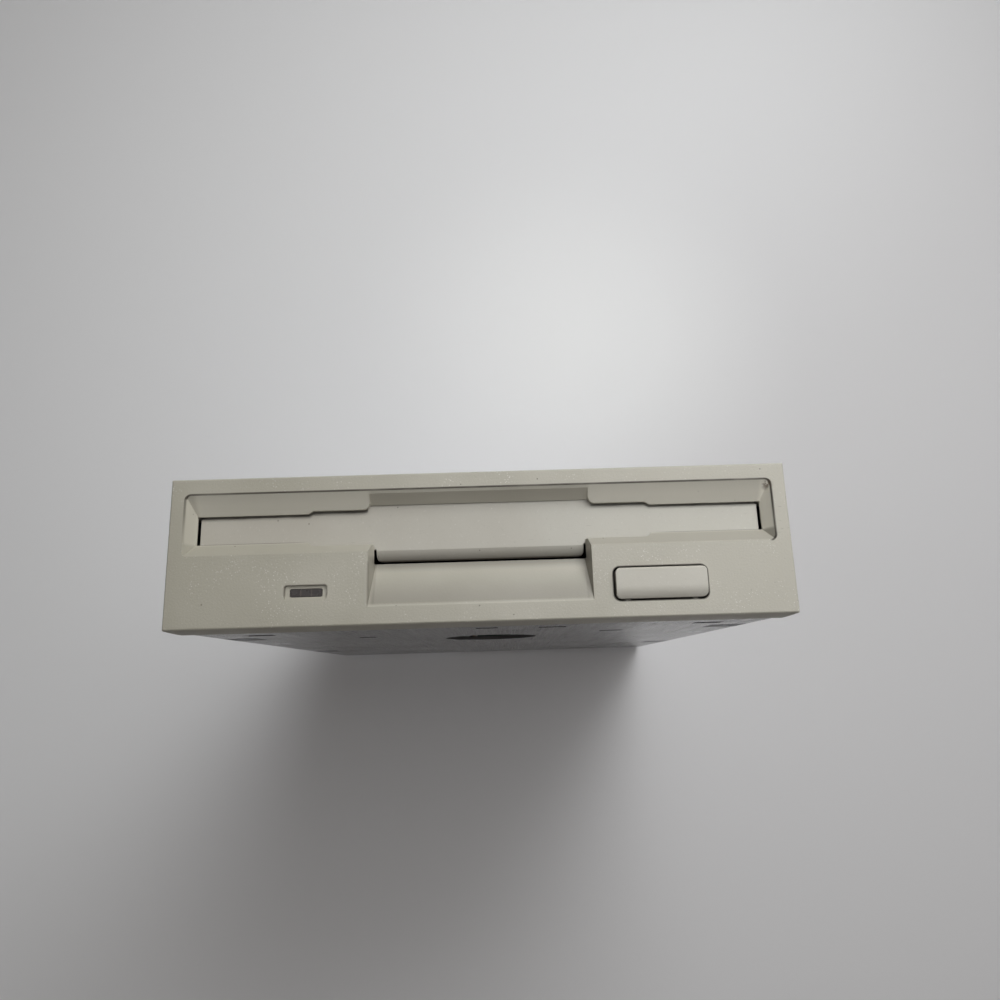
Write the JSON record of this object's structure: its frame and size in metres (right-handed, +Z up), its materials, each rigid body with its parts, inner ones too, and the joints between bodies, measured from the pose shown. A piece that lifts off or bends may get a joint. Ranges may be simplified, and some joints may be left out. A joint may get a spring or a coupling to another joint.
{
  "type": "floppy disk drive",
  "caption": "3.5-inch floppy disk drive with a beige bezel, hinged slot flap, sliding eject button, disk loading mechanism, spindle motor and stepped head carriage.",
  "frame": {"origin": "middle of the drive's outline, at the level of the bezel's underside", "axes": "+Z up from the base, +Y from the bezel to the tail, +X to the right seen from the front"},
  "size_m": [0.1016, 0.146, 0.0254],
  "materials": {
    "bezel_plastic": "matte moulded",
    "flap_plastic": "smooth moulded",
    "button_plastic": "smooth moulded",
    "white_plastic": "moulded",
    "black_plastic": "moulded",
    "lamp_lens": "smooth lens",
    "cover_steel": "zinc plated sheet",
    "base_steel": "zinc plated sheet",
    "zinc_steel": "zinc plated",
    "bright_steel": "bright",
    "dark_steel": "laminated",
    "spring_steel": "drawn wire",
    "cast_frame": "die cast",
    "circuit_board": "solder mask",
    "copper_wire": "enamelled wire",
    "bronze": "sintered",
    "gold_pins": "plated",
    "magnet": "matte",
    "ferrite": "lapped",
    "blue_sleeve": "sleeve",
    "pale_flex": "flat cable",
    "amber_flex": "flat cable"
  },
  "bodies": {
    "chassis": {"bezel": "bezel_plastic", "flap_spring": "spring_steel", "slide_springs": "spring_steel", "frame": "cast_frame", "bottom_plate": "base_steel", "base_screws": "bright_steel", "top_cover": "cover_steel", "cover_screws": "bright_steel", "motor_board": "circuit_board", "motor_screws": "bright_steel", "stator_core": "dark_steel", "stator_coils": "copper_wire", "spindle_bearing": "bronze", "main_board": "circuit_board", "board_screws": "bright_steel", "board_chips": "black_plastic", "board_capacitors": "blue_sleeve", "signal_header": "black_plastic", "signal_pins": "gold_pins", "power_header": "white_plastic", "power_pins": "bright_steel", "cable_sockets": "white_plastic", "motor_cable": "pale_flex", "head_cable": "amber_flex", "activity_lamp": "lamp_lens", "lamp_leads": "bright_steel", "stepper_motor": "zinc_steel", "stepper_bracket": "zinc_steel", "stepper_screws": "bright_steel", "guide_rod": "bright_steel", "rod_clamps": "zinc_steel", "track_sensor": "black_plastic", "sense_switches": "black_plastic"},
    "flap": {"flap": "flap_plastic"},
    "slide": {"slide_plate": "zinc_steel", "eject_button": "button_plastic"},
    "holder": {"disk_holder": "zinc_steel", "holder_pins": "bright_steel", "lever_rivet": "bright_steel", "lever_spring": "spring_steel"},
    "lever": {"shutter_lever": "white_plastic"},
    "spindle": {"spindle_shaft": "bright_steel", "spindle_hub": "zinc_steel", "rotor_magnet": "magnet", "chuck_magnet": "magnet"},
    "drive_pin": {"drive_pin": "bright_steel"},
    "carriage": {"head_carriage": "black_plastic", "screw_follower": "bright_steel", "lower_head": "ferrite", "arm_pivot": "bright_steel", "arm_spring": "spring_steel"},
    "arm": {"upper_arm": "black_plastic", "upper_head": "ferrite"},
    "lead_screw": {"lead_screw": "bright_steel"},
    "protect_plunger": {"protect_plunger": "white_plastic"},
    "disk_plunger": {"disk_plunger": "white_plastic"},
    "density_plunger": {"density_plunger": "white_plastic"}
  },
  "joints": [
    {"name": "flap_swing", "type": "hinge", "parent": "chassis", "child": "flap", "pos_m": [0, -0.06855, 0.0209], "axis": [1, 0, 0], "range_deg": [0, 88], "stiffness_Nm_per_rad": 0.0008, "springref_deg": -22.92, "deforming": ["flap_spring"]},
    {"name": "eject_slide", "type": "slide", "parent": "chassis", "child": "slide", "axis": [0, -1, 0], "range_m": [0, 0.006], "deforming": ["slide_springs"]},
    {"name": "holder_drop", "type": "slide", "parent": "chassis", "child": "holder", "axis": [0, 0, -1], "range_m": [0, 0.0036]},
    {"name": "lever_swing", "type": "hinge", "parent": "holder", "child": "lever", "pos_m": [0.04, -0.002, 0.0203], "axis": [0, 0, -1], "range_deg": [0, 60], "deforming": ["lever_spring"]},
    {"name": "carriage_slide", "type": "slide", "parent": "chassis", "child": "carriage", "axis": [0, -1, 0], "range_m": [0, 0.0148], "deforming": ["head_cable"]},
    {"name": "lead_screw_turn", "type": "hinge", "parent": "chassis", "child": "lead_screw", "pos_m": [-0.0115, 0.024, 0.009], "axis": [0, 1, 0], "range_deg": [0, 1421]},
    {"name": "arm_tilt", "type": "hinge", "parent": "carriage", "child": "arm", "pos_m": [0, 0.037, 0.0132], "axis": [1, 0, 0], "range_deg": [0, 18], "deforming": ["arm_spring"]},
    {"name": "spindle_spin", "type": "hinge", "parent": "chassis", "child": "spindle", "pos_m": [0, -0.022, 0.006], "axis": [0, 0, 1], "continuous": true},
    {"name": "drive_pin_press", "type": "slide", "parent": "spindle", "child": "drive_pin", "axis": [0, 0, -1], "range_m": [0, 0.0012], "stiffness_N_per_m": 50, "springref_m": -0.0005},
    {"name": "protect_press", "type": "slide", "parent": "chassis", "child": "protect_plunger", "axis": [0, 0, -1], "range_m": [0, 0.0009], "stiffness_N_per_m": 100, "springref_m": -0.0003},
    {"name": "disk_press", "type": "slide", "parent": "chassis", "child": "disk_plunger", "axis": [0, 0, -1], "range_m": [0, 0.0009], "stiffness_N_per_m": 100, "springref_m": -0.0003},
    {"name": "density_press", "type": "slide", "parent": "chassis", "child": "density_plunger", "axis": [0, 0, -1], "range_m": [0, 0.0009], "stiffness_N_per_m": 100, "springref_m": -0.0003}
  ],
  "couplings": [
    {"joint": "holder_drop", "follows": "eject_slide", "ratio": 0.6},
    {"joint": "lever_swing", "follows": "eject_slide", "rad_per_m": 174.53},
    {"joint": "arm_tilt", "follows": "eject_slide", "rad_per_m": 52.359},
    {"joint": "lead_screw_turn", "follows": "carriage_slide", "rad_per_m": 1675.5}
  ]
}
